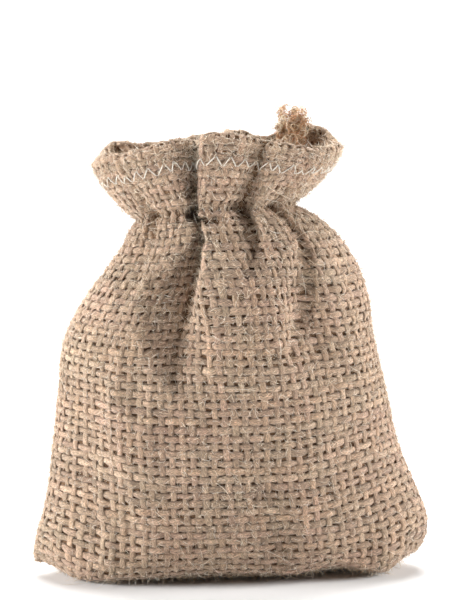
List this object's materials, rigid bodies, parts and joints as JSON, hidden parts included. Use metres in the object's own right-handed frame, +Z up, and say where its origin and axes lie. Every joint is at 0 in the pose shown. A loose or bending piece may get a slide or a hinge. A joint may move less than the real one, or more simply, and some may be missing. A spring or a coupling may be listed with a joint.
{
  "type": "burlap sack",
  "caption": "Small hollow burlap sack, gathered at the neck with a ruffled open mouth, standing on a soft belly.",
  "frame": {"origin": "middle of the sack's box in X and Y, on the surface it stands on", "axes": "+Z up from the bottom to the mouth, +X from the left to the right side as the front is seen, the front faces -Y"},
  "size_m": [0.0988, 0.0462, 0.1144],
  "materials": {
    "burlap": "coarse plain-woven natural jute, matte, hairy",
    "frayed_yarn": "loose jute yarn ends, matte",
    "stitching": "white cotton sewing thread, matte"
  },
  "bodies": {
    "root": {"sack": "burlap", "seam_fray": "frayed_yarn"}
  },
  "joints": []
}
